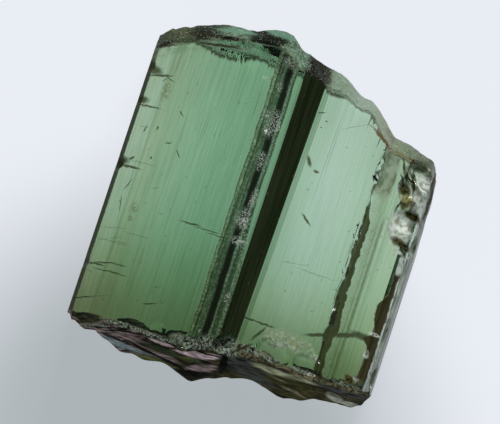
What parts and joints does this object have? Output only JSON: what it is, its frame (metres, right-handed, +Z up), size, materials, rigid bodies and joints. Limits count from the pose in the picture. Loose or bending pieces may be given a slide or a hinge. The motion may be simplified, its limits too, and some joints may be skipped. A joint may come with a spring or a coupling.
{
  "type": "green tourmaline crystal",
  "caption": "Broken prism of clear green tourmaline with long growth grooves, a rough ridge, a stepped front and a rough fracture at each end.",
  "frame": {"origin": "centre of the bounding box across and along the prism, on the surface that the crystal lies on", "axes": "+Y along the prism axis from the lower fracture to the upper one, +X across it from the broad striated face to the narrow right-hand faces, +Z up out of the front faces"},
  "size_m": [0.0082, 0.0088, 0.0046],
  "materials": {
    "tourmaline": "clear green stone, glossy on the prism faces, frosted along the ridge and on the fractures"
  },
  "bodies": {
    "root": {"tourmaline_crystal": "tourmaline"}
  },
  "joints": []
}
